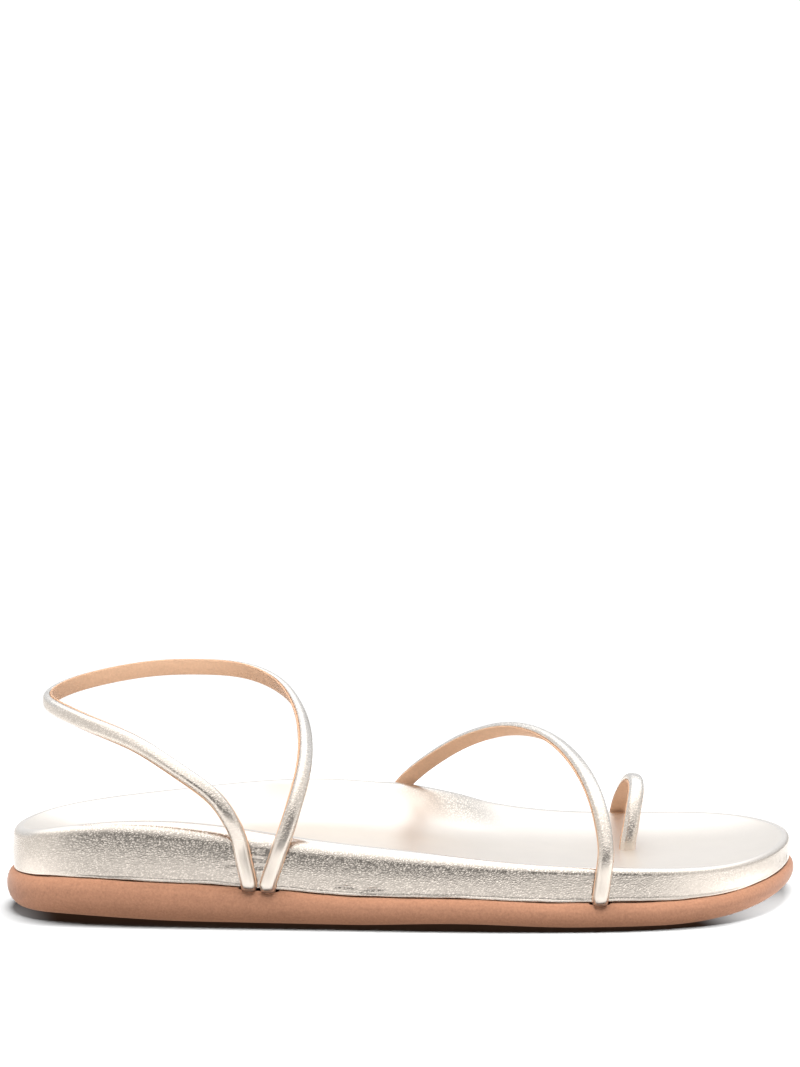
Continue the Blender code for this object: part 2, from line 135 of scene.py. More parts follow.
# Across as a share of the strap's width, and out: under the roll, and half of the lining
ROLL_TUCK = ((-0.43, -0.14), (-0.36, -0.22), (0.36, -0.22), (0.43, -0.14))
LINING_HALF = ((-0.44, 0.0), (-0.495, 0.08), (-0.52, 0.30), (-0.515, 0.52), (-0.46, 0.66))
STRAP_GRAIN = 0.5  # share of the wall's grain, over the smooth ends
STRAP_GRAIN_DEPTH = 1.6  # times the depth of the wall's grain
SMOOTH_END = {"ankle_strap": 23.0, "instep_strap": 17.0, "toe_loop": 12.0}  # smooth up to here
SMOOTH_FADE = 10.0  # height over which the grain comes in
SMOOTH_GLOSS = 0.4
STRAP_PAINTED_LIFT = 1.10  # painted light: the straps' gold is made lighter than the footbed's, for the brighter room they mirror
TAIL_LENGTH = 11.0  # skived end held between footbed and outsole
TAIL_THICKNESS = 1.0
TAIL_DEPTH = 0.6  # middle of the tail below the outsole's top
BEND_RUN = 1.6  # how far in from the wall the bend into the tail ends
BEND_RISE = 1.8  # how far over the outsole's top the bend begins
DENT_HALF_WIDTH = 2.65
DENT_SOFT = 0.7  # run of a dent's edge
DENT_FADE = (-4.0, -1.0)  # heights over the outsole's top with no dent and with all of it

# Mesh density
SIDE_STEPS = 440  # points along each side of the outline
EDGE_STEPS = 12  # rings round a quarter turn
FOOT_STEPS = 6
WALL_STEPS = 40
WALL_CROWDING = 1.5  # 1 for even rings, and more for closer ones at the wall's foot
DISH_STEPS = 40
DISH_CROWDING = 1.25  # the same at the rim
ROLL_STEPS = 28
STRAP_STEP = 0.8
WELD = 0.002

# Outline of the outsole's widest line, from the heel along the outer side to the toe and back
OUTLINE = table(
    Place,
    (0.000, -0.036),
    (0.028, -0.217),
    (0.138, -0.316),
    (0.406, -0.430),
    (0.693, -0.515),
    (0.914, -0.381),
    (1.000, 0.095),
    (0.946, 0.400),
    (0.731, 0.476),
    (0.422, 0.343),
    (0.125, 0.338),
    (0.026, 0.185),
)

# Thickness of the outsole along the length
SOLE_THICKNESS = table(
    SoleSection,
    (0.00, 11.4),
    (0.06, 12.2),
    (0.13, 12.6),
    (0.23, 12.5),
    (0.43, 9.7),
    (0.58, 8.4),
    (0.74, 8.4),
    (0.88, 7.9),
    (1.00, 7.2),
)

# Rim of the footbed: outer and inner rim over the floor, the radius of the shoulder under them, and
# the step from the outsole's widest line in to the wall
RIM = table(
    RimSection,
    (0.00, 26.4, 26.4, 2.6, 2.3),
    (0.12, 31.0, 29.6, 3.5, 2.2),
    (0.23, 31.1, 32.7, 5.6, 2.1),
    (0.37, 26.8, 35.4, 5.0, 2.1),
    (0.51, 23.3, 31.9, 4.0, 2.1),
    (0.64, 20.3, 23.8, 2.6, 2.1),
    (0.78, 18.7, 20.2, 1.9, 2.1),
    (0.92, 18.0, 20.3, 1.6, 2.1),
    (1.00, 19.8, 19.8, 1.6, 1.5),
)

# Dish of the footbed: its middle over the floor, and how late the cup turns up to the rim
DISH = table(
    DishSection,
    (0.00, 22.4, 2.4),
    (0.12, 21.6, 2.5),
    (0.23, 21.6, 2.7),
    (0.37, 23.2, 3.3),
    (0.51, 20.0, 3.3),
    (0.64, 16.0, 3.4),
    (0.78, 13.8, 3.8),
    (0.92, 15.8, 4.0),
    (1.00, 17.3, 4.0),
)

# Free run of the ankle strap, back round the heel and over the instep
ANKLE_ROUTE = table(
    Stop,
    (71.2, -37.4, 33.3, 0.03, 1.00, -0.08),
    (66.2, -36.6, 40.9, -0.10, 0.95, -0.30),
    (55.6, -34.0, 48.8, -0.01, 0.87, -0.49),
    (41.9, -28.0, 56.7, 0.22, 0.85, -0.47),
    (28.1, -20.0, 61.3, 0.50, 0.81, -0.30),
    (17.9, -10.5, 64.2, 0.78, 0.62, -0.12),
    (13.4, -0.5, 66.0, 1.00, 0.06, 0.01),
    (16.6, 9.0, 67.8, 0.88, -0.46, 0.00),
    (27.0, 19.0, 69.8, 0.60, -0.80, 0.00),
    (45.9, 26.2, 72.0, 0.18, -0.98, 0.00),
    (62.3, 27.9, 72.3, -0.10, -0.98, -0.05),
    (76.3, 24.3, 71.7, -0.40, -0.88, -0.20),
    (86.8, 15.4, 68.9, -0.66, -0.62, -0.40),
    (92.8, 2.0, 64.3, -0.82, -0.10, -0.52),
    (95.3, -15.5, 57.3, -0.74, 0.46, -0.44),
    (94.5, -28.0, 48.4, -0.48, 0.82, -0.24),
    (91.5, -35.0, 38.7, -0.20, 0.97, -0.06),
    (88.6, -37.2, 30.6, 0.02, 1.00, -0.02),
)

# Free run of the instep strap, from the outer side of the ball to the inner arch
INSTEP_ROUTE = table(
    Stop,
    (187.8, -48.6, 22.4, 0.02, 1.00, -0.02),
    (187.9, -46.9, 28.3, -0.05, 0.97, -0.22),
    (186.4, -42.0, 37.5, -0.20, 0.82, -0.50),
    (183.9, -34.0, 44.6, -0.30, 0.56, -0.74),
    (180.1, -24.0, 50.1, -0.38, 0.28, -0.86),
    (174.6, -13.0, 54.0, -0.44, 0.00, -0.88),
    (168.1, -3.0, 55.6, -0.48, -0.22, -0.84),
    (160.9, 6.0, 54.9, -0.46, -0.40, -0.78),
    (154.1, 14.0, 52.2, -0.36, -0.56, -0.72),
    (146.5, 22.0, 47.7, -0.20, -0.72, -0.62),
    (138.7, 28.6, 41.7, -0.02, -0.85, -0.48),
    (131.6, 33.3, 35.2, 0.08, -0.96, -0.22),
)

# Free run of the toe loop, up from its slot in the footbed, over the big toe and out to the inner wall
TOE_ROUTE = table(
    Stop,
    (200.5, 9.8, 15.5, 0.00, 1.00, 0.00),
    (201.3, 10.5, 19.8, 0.00, 1.00, -0.05),
    (202.6, 12.6, 26.5, -0.04, 0.96, -0.25),
    (203.9, 16.8, 32.1, -0.10, 0.66, -0.72),
    (204.1, 22.8, 34.6, -0.14, 0.10, -0.98),
    (203.1, 28.4, 33.9, -0.10, -0.34, -0.92),
    (201.8, 34.4, 30.0, -0.04, -0.74, -0.66),
    (200.9, 41.7, 24.8, 0.00, -0.94, -0.34),
)

# Strap ends on the wall: where each comes up, and where and how high it leaves the wall
OUTER, INNER = -1, 1
ANCHORS = {
    "ankle_back": Anchor(OUTER, 76.5, 73.7, 26.8),
    "ankle_front": Anchor(OUTER, 82.5, 86.4, 25.0),
    "instep_outer": Anchor(OUTER, 186.3, 187.2, 17.4),
    "instep_inner": Anchor(INNER, 120.5, 126.4, 28.6),
    "toe_inner": Anchor(INNER, 200.2, 200.2, 18.2),
}

# Waves of the two edges that meet at the joint
FOOT_WAVES = [Wave(9, 0.07, 0.4), Wave(23, 0.05, 1.9), Wave(47, 0.04, 0.8)]
WELT_WAVES = [Wave(7, 0.10, 2.2), Wave(19, 0.07, 0.5), Wave(41, 0.05, 1.3)]
FLARE_WAVES = [Wave(11, 0.15, 0.9), Wave(29, 0.1, 2.6)]  # shares of the flare

# Main creases: puckers between the ankle strap's feet, a fan where the back one pulls the leather, a
# fold along the wall's foot, and gathers at the toe
CREASES = table(
    Crease,
    (OUTER, 79.2, 25.4, 84.0, 6.0, 0.65, 0.26),
    (OUTER, 79.8, 23.2, 96.0, 6.0, 0.65, 0.24),
    (OUTER, 79.2, 21.0, 82.0, 5.5, 0.65, 0.24),
    (OUTER, 79.6, 18.6, 94.0, 5.0, 0.65, 0.22),
    (OUTER, 71.0, 19.0, -76.0, 11.0, 0.75, 0.08),
    (OUTER, 71.2, 16.4, -84.0, 10.0, 0.70, 0.08),
    (OUTER, 107.0, 12.7, 88.0, 13.0, 0.50, 0.22),
    (OUTER, 115.0, 12.1, 94.0, 12.0, 0.50, 0.22),
    (OUTER, 248.6, 13.6, 8.0, 4.6, 0.60, 0.40),
    (OUTER, 250.4, 14.2, -6.0, 5.4, 0.60, 0.45),
    (OUTER, 251.6, 13.8, 4.0, 4.2, 0.60, 0.40),
)
RIDGE_SHARE = 0.35  # height of the ridges beside a crease, as a share of its depth
RIDGE_PLACE = 1.9  # widths of the crease from its middle

# Where the dish keeps the wall's grain: the swell of the inner arch, which pulls the leather
GRAIN_SPOTS = [Spot(130.0, 32.0, 15.0, 10.0, 0.8), Spot(147.0, 27.0, 17.0, 11.0, 1.3)]


def cubic(knots, values, at, closed=False):
    """A cubic curve with continuous curvature through values at knots, read at other places.

    A closed curve's last value repeats its first, and an open curve's ends run out straight.
    """
    knots = np.asarray(knots, float)
    values = np.asarray(values, float).reshape(len(knots), -1)
    step = np.diff(knots)
    slope = np.diff(values, axis=0) / step[:, None]
    count = len(step) if closed else len(knots)
    matrix = np.eye(count)
    right = np.zeros((count, values.shape[1]))
    rows = range(count) if closed else range(1, count - 1)
    for row in rows:
        before, after = step[row - 1], step[row]
        matrix[row, row] = 2 * (before + after)
        matrix[row, (row - 1) % count] += before
        matrix[row, (row + 1) % count] += after
        right[row] = 6 * (slope[row] - slope[row - 1])
    bend = np.linalg.solve(matrix, right)
    if closed:
        bend = np.vstack((bend, bend[:1]))
    at = np.atleast_1d(np.asarray(at, float))
    span = np.clip(np.searchsorted(knots, at, side="right") - 1, 0, len(step) - 1)
    width = step[span][:, None]
    ahead = (knots[span + 1] - at)[:, None]
    behind = (at - knots[span])[:, None]
    return (
        (bend[span] * ahead**3 + bend[span + 1] * behind**3) / (6 * width)
        + (values[span] / width - bend[span] * width / 6) * ahead
        + (values[span + 1] / width - bend[span + 1] * width / 6) * behind
    )


def chord_knots(points):
    """Knots that grow with the root of each chord, which keeps a curve from looping between points."""
    chords = np.linalg.norm(np.diff(points, axis=0), axis=1)
    return np.concatenate(([0.0], np.cumsum(np.sqrt(chords))))


def run_lengths(points):
    """How far along a run of points each of them is."""
    return np.concatenate(([0.0], np.cumsum(np.linalg.norm(np.diff(points, axis=0), axis=1))))


def even_run(points, steps):
    """The points that divide a run of points into equal steps."""
    lengths = run_lengths(points)
    wanted = np.linspace(0, lengths[-1], steps + 1)
    return np.column_stack([np.interp(wanted, lengths, points[:, i]) for i in (0, 1)])


def unit(vectors):
    """Vectors brought to a length of 1."""
    return vectors / np.maximum(np.linalg.norm(vectors, axis=-1, keepdims=True), 1e-9)


def ease(share):
    """A step from 0 to 1 that starts and ends level."""
    share = np.clip(share, 0, 1)
    return share * share * (3 - 2 * share)


def between(value, start, end):
    """An eased step from 0 at the start to 1 at the end."""
    return ease((value - start) / (end - start))


class Last:
    """The plan that the sandal is built on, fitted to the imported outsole, in millimetres."""

    def __init__(self):
        low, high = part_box("outsole")
        self.length = (high.x - low.x) / MM
        places = np.array(OUTLINE + OUTLINE[:1])
        width = (high.y - low.y) / MM
        for _ in range(3):
            edge = self.walk(places * (self.length, width))
            width *= (high.y - low.y) / MM / np.ptp(edge[:, 1])
        self.edge = edge
        run = np.roll(edge, -1, axis=0) - np.roll(edge, 1, axis=0)
        self.outward = unit(np.column_stack((run[:, 1], -run[:, 0])))
        self.on_outer_side = np.arange(len(edge)) <= SIDE_STEPS
        self.middle = np.array([self.length / 2, (edge[:, 1].min() + edge[:, 1].max()) / 2, 0.0])
        pairs = (edge + edge[-np.arange(len(edge))]) / 2
        half = pairs[: SIDE_STEPS + 1]
        along = np.clip(pairs[:, 0], *SPINE)
        self.spine = np.column_stack((along, np.interp(along, half[:, 0], half[:, 1])))

    def walk(self, places):
        """The widest line: heel, along the outer side to the toe, and back along the inner side."""
        knots = chord_knots(places)
        fine = cubic(knots, places, np.linspace(0, knots[-1], 8001)[:-1], closed=True)
        fine = np.roll(fine, -int(np.argmin(fine[:, 0])), axis=0)
        toe = int(np.argmax(fine[:, 0]))
        outer_side = even_run(fine[: toe + 1], SIDE_STEPS)
        inner_side = even_run(np.vstack((fine[toe:], fine[:1])), SIDE_STEPS)
        edge = np.vstack((outer_side[:-1], inner_side[:-1]))
        edge[:, 0] = (edge[:, 0] - edge[:, 0].min()) * self.length / np.ptp(edge[:, 0])
        return edge

    def drawn_in(self, inset):
        """The outline in plan, moved inwards."""
        return self.edge - self.outward * np.reshape(inset, (-1, 1))

    def towards_spine(self, plan, share):
        """A plan drawn in to the middle line: all of it at share 1, and the line itself at 0."""
        return self.spine + share * (plan - self.spine)


LAST = Last()


def column(table, name, x):
    """One column of a table that is given along the length, read at distances from the heel."""
    stations = [row.along for row in table]
    values = [getattr(row, name) for row in table]
    share = np.clip(np.asarray(x, float) / LAST.length, 0, 1)
    return cubic(stations, values, share)[:, 0]


def floor_clearance(x):
    """Height of the outsole's underside: zero on the heel and ball flats."""
    x = np.asarray(x, float)
    roll = HEEL_ROLL * ease((HEEL_FLAT[0] - x) / HEEL_ROLL_LENGTH)
    arch_share = np.clip((x - HEEL_FLAT[1]) / (BALL_FLAT[0] - HEEL_FLAT[1]), 0, 1)
    arch = ARCH_LIFT * np.sin(math.pi * arch_share) ** 2
    toe_share = np.clip((x - BALL_FLAT[1]) / (LAST.length - BALL_FLAT[1]), 0, 1)
    return roll + arch + TOE_SPRING * toe_share**2


def sole_top(x):
    """Height of the face that the footbed is set on."""
    return floor_clearance(x) + column(SOLE_THICKNESS, "thickness", x)


def waves_round(waves):
    """Height of a few waves at each point of the outline."""
    turn = np.linspace(0, 2 * math.pi, len(LAST.edge), endpoint=False)
    return sum(wave.height * np.sin(wave.count * turn + wave.phase) for wave in waves)


def raised(plan, heights):
    """A ring: a plan with the height of each point."""
    return np.column_stack((plan, heights))


def turns(steps):
    """Angles over a quarter turn, in equal steps."""
    return np.radians(np.linspace(0, 90, steps + 1))


def outsole_rings():
    """Rings from the middle of the underside, out round the bullnose and in over the top face."""
    edge_x = LAST.edge[:, 0]
    foot = floor_clearance(edge_x)
    thickness = column(SOLE_THICKNESS, "thickness", edge_x)
    wave = waves_round(WELT_WAVES)
    rings = []
    bottom_edge = LAST.drawn_in(EDGE_UNDER_RUN)
    for share in (0.0, 0.3, 0.6, 0.85, 0.95):
        plan = LAST.towards_spine(bottom_edge, share)
        rings.append(raised(plan, floor_clearance(plan[:, 0])))
    for turn in turns(EDGE_STEPS):
        inset = EDGE_UNDER_RUN * (1 - math.sin(turn))
        rise = EDGE_WIDEST * (1 - math.cos(turn))
        rings.append(raised(LAST.drawn_in(inset), foot + rise * thickness))
    for turn in turns(EDGE_STEPS)[1:]:
        inset = EDGE_OVER_RUN * (1 - math.cos(turn))
        rise = EDGE_WIDEST + (1 - EDGE_WIDEST) * math.sin(turn)
        rings.append(raised(LAST.drawn_in(inset), foot + rise * thickness + wave * math.sin(turn)))
    top_edge = LAST.drawn_in(EDGE_OVER_RUN)
    for share in (0.97, 0.94, 0.9, 0.85, 0.8, 0.74, 0.68, 0.6, 0.5, 0.25, 0.0):
        plan = LAST.towards_spine(top_edge, share)
        rings.append(raised(plan, sole_top(plan[:, 0]) + wave * ease((share - 0.9) / 0.1)))
    return dent_for_straps(np.array(rings))


def dent_for_straps(rings):
    """Presses the outsole's top down under each strap end, as the skived tail lies in the leather."""
    depth = TAIL_DEPTH + TAIL_THICKNESS / 2 + GAP
    over_top = rings[..., 2] - sole_top(rings[..., 0].ravel()).reshape(rings.shape[:2])
    top = between(over_top, *DENT_FADE)
    for end in ANCHORS.values():
        point, way_in = wall_at(end.x, end.side)
        offset = rings[..., :2] - point
        inwards = offset @ way_in
        aside = np.abs(offset @ np.array([-way_in[1], way_in[0]]))
        share = ease((DENT_HALF_WIDTH + DENT_SOFT - aside) / DENT_SOFT)
        share *= ease((inwards + GAP) / DENT_SOFT)
        share *= ease((TAIL_LENGTH + BEND_RUN - inwards) / DENT_SOFT)
        rings[..., 2] -= depth * share * top
    return rings


def footbed_rings():
    """Rings from the middle of the underside, up the wall, over the shoulder and down into the dish.

    With them come the gloss and the grain of each point: 1 on the wall and 0 in the dish.
    """
    edge_x = LAST.edge[:, 0]
    wall = column(RIM, "inset", edge_x)
    shoulder = column(RIM, "shoulder", edge_x)
    outer_rim, inner_rim = (column(RIM, side, edge_x) for side in ("outer", "inner"))
    rim = np.where(LAST.on_outer_side, outer_rim, inner_rim)
    base = sole_top(edge_x) + SEAM + waves_round(FOOT_WAVES)
    head = rim - shoulder
    ends = between(edge_x, *TOE_END) + between(edge_x, *HEEL_END)
    rings, gloss, grain = [], [], []

    def add_ring(plan, heights, ring_gloss, ring_grain):
        rings.append(raised(plan, heights))
        gloss.append(ring_gloss)
        grain.append(ring_grain)

    flare = FOOT_FLARE * (1 + waves_round(FLARE_WAVES)) * (1 - END_FLARE_LOSS * ends)
    under_edge = LAST.drawn_in(wall - flare + FOOT_EDGE)
    for share in (0.0, 0.5, 0.85):
        plan = LAST.towards_spine(under_edge, share)
        add_ring(plan, sole_top(plan[:, 0]) + GAP, 1.0, 1.0)
    for turn in turns(FOOT_STEPS):
        inset = wall - flare + FOOT_EDGE * (1 - math.sin(turn))
        add_ring(LAST.drawn_in(inset), base + FOOT_EDGE * (1 - math.cos(turn)), 1.0, 1.0)
    foot = base + FOOT_EDGE
    swell = WALL_BULGE * (1 - BULGE_LOSS * between(edge_x, *FLAT_WALL))
    for share in np.linspace(0, 1, WALL_STEPS + 1)[1:] ** WALL_CROWDING:
        height = share * (head - foot)
        bulge = swell * math.sin(math.pi * share) + flare * np.exp(-((height / FLARE_RISE) ** 2))
        wall_grain = FOOT_GRAIN + (1 - FOOT_GRAIN) * ease(share / FOOT_GRAIN_RISE)
        add_ring(LAST.drawn_in(wall - bulge), foot + height, 1.0, wall_grain)
    shoulder_start = len(rings)
    for turn in turns(EDGE_STEPS)[1:]:
        plan = LAST.drawn_in(wall + shoulder * (1 - math.cos(turn)))
        turn_grain = between(math.degrees(turn), *SHOULDER_GRAIN)
        add_ring(plan, head + shoulder * math.sin(turn), 1 - END_GLOSS_LOSS * ends, turn_grain)
    inner = between(LAST.edge[:, 1], *INNER_SIDE)
    land = np.interp(inner, (0, 1), LAND) * (1 - HEEL_LAND_LOSS * between(edge_x, *HEEL_NARROW_LAND))
    land *= 1 - np.interp(inner, (0, 1), TOE_LAND_LOSS) * between(edge_x, *TOE_NARROW_LAND)
    land_gloss = np.interp(inner, (0, 1), LAND_GLOSS)
    for run in (0.5, 1.0):
        add_ring(LAST.drawn_in(wall + shoulder + run * land), rim, land_gloss, 0.0)
    crest = LAST.drawn_in(wall + shoulder + land)
    crest_ring = len(rings)
    for share in 1 - np.linspace(0, 1, DISH_STEPS + 1)[1:] ** DISH_CROWDING:
        plan = LAST.towards_spine(crest, share)
        middle = column(DISH, "middle", plan[:, 0])
        cup = share ** column(DISH, "cup", plan[:, 0])
        add_ring(plan, middle + (rim - middle) * cup, 0.0, 0.0)
    rings = np.array(rings)
    start, end = shoulder_start - RIM_REACH[0], crest_ring + RIM_REACH[1]
    for _ in range(RIM_ROUNDS):
        beside = rings[start - 1 : end - 1] + rings[start + 1 : end + 1]
        rings[start:end] = (beside + 2 * rings[start:end]) / 4
    rough = 1 - TOE_GRAIN_LOSS * between(edge_x, *TOE_SMOOTH)
    rough *= 1 - HEEL_GRAIN_LOSS * between(edge_x, *HEEL_SMOOTH)
    shares = {
        GLOSS: np.array([share * np.ones(len(edge_x)) for share in gloss]),
        GRAIN: np.array([share * rough for share in grain]),
    }
    for spot in GRAIN_SPOTS:
        away = np.hypot((rings[..., 0] - spot.x) / spot.reach_x, (rings[..., 1] - spot.y) / spot.reach_y)
        inside = ease(1 - away)
        inside[:shoulder_start] = 0
        shares[GRAIN] = np.maximum(shares[GRAIN], inside)
        rings = rings + skin_normals(rings) * (spot.swell * inside)[..., None]
    return creased(rings), shares


def skin_normals(rings):
    """The way out of a skin at each of its places."""
    upwards = np.gradient(rings, axis=0)
    along = np.roll(rings, -1, axis=1) - np.roll(rings, 1, axis=1)
    return unit(np.cross(along, upwards))


def creased(rings):
    """Presses each crease into a skin as a soft trough with a low ridge along either side."""
    normals = skin_normals(rings)
    for crease in CREASES:
        plan, inwards = wall_at(crease.x, crease.side)
        lean = math.radians(crease.lean)
        way = np.array([-inwards[1] * math.sin(lean), inwards[0] * math.sin(lean), math.cos(lean)])
        offset = rings - (*plan, crease.z)
        along = offset @ way
        aside = np.linalg.norm(offset - along[..., None] * way, axis=-1) / crease.width
        fade = ease(1 - np.abs(along) * 2 / crease.length)
        trough = np.exp(-(aside**2))
        ridge = np.exp(-((aside - RIDGE_PLACE) ** 2))
        rings = rings + normals * (crease.depth * fade * (RIDGE_SHARE * ridge - trough))[..., None]
    return rings


def wall_at(x, side):
    """The footbed's wall at a distance from the heel: where it stands out most, and the way in."""
    half = np.arange(SIDE_STEPS + 1)
    index = half if side == OUTER else -half
    edge, outward = LAST.edge[index], LAST.outward[index]
    way_out = unit(np.array([np.interp(x, edge[:, 0], outward[:, i]) for i in (0, 1)]))
    inset = column(RIM, "inset", x)[0] - WALL_BULGE
    point = np.array([x, np.interp(x, edge[:, 0], edge[:, 1])]) - way_out * inset
    return point, -way_out


def anchor_rows(name, thickness):
    """A strap's end from the tip of its tail, round the footbed's lower edge and up the wall.

    Each row is the middle of the strap, the way that its lining faces, and its thickness.
    """
    end = ANCHORS[name]
    point, inwards = wall_at(end.x, end.side)
    way_in = np.array([*inwards, 0.0])
    up = np.array([0.0, 0.0, 1.0])
    foot = np.array([*point, sole_top(end.x)[0]])
    reach = BEND_RUN + GAP + thickness / 2
    drop = BEND_RISE + TAIL_DEPTH
    rows = []
    for run in (TAIL_LENGTH, (TAIL_LENGTH + BEND_RUN) / 2):
        rows.append((foot + way_in * run - up * TAIL_DEPTH, up, TAIL_THICKNESS))
    for turn in (90, 60, 30, 0):
        lean = math.radians(turn)
        middle = foot + way_in * (BEND_RUN - reach * math.cos(lean))
        middle += up * (BEND_RISE - drop * math.sin(lean))
        facing = way_in * math.cos(lean) + up * math.sin(lean)
        rows.append((middle, facing, thickness + (TAIL_THICKNESS - thickness) * turn / 90))
    start_height = foot[2] + BEND_RISE
    for share in (0.5, 1.0):
        point, inwards = wall_at(end.x + share * (end.leave_x - end.x), end.side)
        plan = point - inwards * (GAP + thickness / 2)
        height = start_height + share * (end.leave_height - start_height)
        rows.append((np.array([*plan, height]), np.array([*inwards, 0.0]), thickness))
    return rows


def strap_rows(route, thickness, first, last):
    """Rows, as the anchors have them, from one end of a strap to the other. The first end may be free."""
    start = anchor_rows(first, thickness) if first else []
    free = [(np.array(stop[:3]), np.array(stop[3:]), thickness) for stop in route]
    return start + free + anchor_rows(last, thickness)[::-1]


def strap_frames(rows):
    """Places along a smooth route through the rows: middle, way in, way across and thickness of each."""
    middles = np.array([row[0] for row in rows])
    knots = chord_knots(middles)
    data = np.column_stack((middles, [row[1] for row in rows]))
    places = [0.0]
    for start, end, chord in zip(knots, knots[1:], np.diff(run_lengths(middles))):
        steps = max(1, round(chord / STRAP_STEP))
        places.extend(np.linspace(start, end, steps + 1)[1:])
    places = np.array(places)
    read = cubic(knots, data, places)
    nudge = knots[-1] * 1e-4
    ahead = cubic(knots, middles, np.clip(places + nudge, 0, knots[-1]))
    behind = cubic(knots, middles, np.clip(places - nudge, 0, knots[-1]))
    tangents = unit(ahead - behind)
    facing = unit(read[:, 3:] - tangents * np.sum(read[:, 3:] * tangents, axis=1)[:, None])
    thickness = np.interp(places, knots, [row[2] for row in rows])
    return read[:, :3], facing, np.cross(tangents, facing), thickness


def roll_section(width, thickness):
    """Points round the rolled leather: across the strap, and out from the lining's face."""
    crown = []
    for turn in np.linspace(0, math.pi, ROLL_STEPS + 1):
        across = math.copysign(abs(math.cos(turn)) ** CROWN_FLATNESS, math.cos(turn))
        out = abs(math.sin(turn)) ** CROWN_FLATNESS
        crown.append((ROLL_HALF * width * across, LINING_EDGE + (thickness - LINING_EDGE) * out))
    return np.array(crown + [(width * across, LINING_EDGE + out) for across, out in ROLL_TUCK])


def lining_section(width):
    """Points round the lining: a strip with soft edges, a little wider than the roll."""
    left = [(width * across, out) for across, out in LINING_HALF]
    right = [(-across, out) for across, out in reversed(left)]
    return np.array(left + right)


def strap_rings(rows, outline, thickness):
    """A section's outline carried along a strap's route, thinned with it."""
    rings = []
    for middle, way_in, sideways, thick in zip(*strap_frames(rows)):
        out = outline[:, 1:] * thick / thickness - thick / 2
        rings.append(middle + outline[:, :1] * sideways - out * way_in)
    return np.array(rings)


def lofted(rings, capped, shares=None):
    """A closed bmesh: a loop on the first ring, extruded from ring to ring.

    Ends that aren't capped meet on the middle line. Shares, named arrays, become attributes.
    """
    bm = bmesh.new()
    layers = [(bm.verts.layers.float.new(name), values) for name, values in (shares or {}).items()]
    loop = bmesh.ops.create_circle(bm, segments=rings.shape[1])["verts"]
    loops = [loop]
    for _ in rings[1:]:
        edges = [bm.edges.get(pair) for pair in zip(loop, loop[1:] + loop[:1])]
        made = bmesh.ops.extrude_edge_only(bm, edges=edges)["geom"]
        fresh = {item for item in made if isinstance(item, bmesh.types.BMVert)}
        loop = [next(e.other_vert(v) for e in v.link_edges if e.other_vert(v) in fresh) for v in loop]
        loops.append(loop)
    for row, (loop, places) in enumerate(zip(loops, (rings - LAST.middle) * MM)):
        for spot, (vert, place) in enumerate(zip(loop, places)):
            vert.co = place
            for layer, values in layers:
                vert[layer] = values[row, spot]
    if capped:
        bmesh.ops.holes_fill(bm, edges=bm.edges, sides=0)
    bmesh.ops.remove_doubles(bm, verts=bm.verts, dist=WELD * MM)
    bmesh.ops.recalc_face_normals(bm, faces=bm.faces)
    return bm


def add_object(name, data):
    """A new object in the scene."""
    thing = bpy.data.objects.new(name, data)
    bpy.context.scene.collection.objects.link(thing)
    return thing


def add_mesh(name, bm, material):
    """An object with a finished mesh."""
    mesh = bpy.data.meshes.new(name)
    bm.to_mesh(mesh)
    bm.free()
    mesh.materials.append(material)
    return add_object(name, mesh)


def add_piece(name, bm, material, node=None):
    """A piece that rides on the sandal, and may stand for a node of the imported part."""
    piece = add_mesh(name, bm, material)
    piece.data.shade_smooth()
    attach(piece, BODY)
    if node:
        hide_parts(node)


def linear(hex_colour):
    """An sRGB hex colour as linear red, green and blue."""
    parts = [int(hex_colour[i : i + 2], 16) / 255 for i in (1, 3, 5)]
    return tuple(c / 12.92 if c <= 0.04045 else ((c + 0.055) / 1.055) ** 2.4 for c in parts)


def fill(tree, node, sockets):
    """Sets a node's sockets to values, or links them to outputs of other nodes."""
    for name, value in sockets.items():
        if isinstance(value, bpy.types.NodeSocket):
            tree.links.new(value, node.inputs[name])
        else:
            node.inputs[name].default_value = value


def add_node(tree, kind, sockets=None, **settings):
    """Adds a node, sets it up and fills its sockets."""
    node = tree.nodes.new(kind)
    for name, value in settings.items():
        setattr(node, name, value)
    fill(tree, node, sockets or {})
    return node


def maths(tree, operation, *values):
    """The result of an operation on numbers or outputs."""
    return add_node(tree, "ShaderNodeMath", dict(enumerate(values)), operation=operation).outputs[0]


def ranged(tree, value, start, end, low=0.0, high=1.0, soft=False):
    """A value taken from start and end to low and high, and eased at both if soft."""
    sockets = {"Value": value, "From Min": start, "From Max": end, "To Min": low, "To Max": high}
    kind = "SMOOTHSTEP" if soft else "LINEAR"
    return add_node(tree, "ShaderNodeMapRange", sockets, interpolation_type=kind).outputs[0]


def mixed(tree, share, first, second):
    """A number between two others."""
    return add_node(tree, "ShaderNodeMix", {0: share, 2: first, 3: second}).outputs[0]


def mixed_colour(tree, share, first, second, blend="MIX"):
    """A colour between two others."""
    sockets = {0: share, 6: first, 7: second}
    return add_node(tree, "ShaderNodeMix", sockets, data_type="RGBA", blend_type=blend).outputs[2]


def noise(tree, place, scale, detail, roughness=0.5, distortion=0.0):
    """The outputs of a cloudy pattern."""
    sockets = {"Vector": place, "Scale": scale, "Detail": detail}
    sockets |= {"Roughness": roughness, "Distortion": distortion}
    return add_node(tree, "ShaderNodeTexNoise", sockets).outputs


def new_material(name):
    """An empty node material, its tree and its shader."""
    material = bpy.data.materials.new(name)
    material.use_nodes = True
    tree = material.node_tree
    return material, tree, tree.nodes["Principled BSDF"]


def shaded(colour, share):
    """A colour made darker or lighter, with full alpha."""
    return (*(channel * share for channel in colour), 1.0)
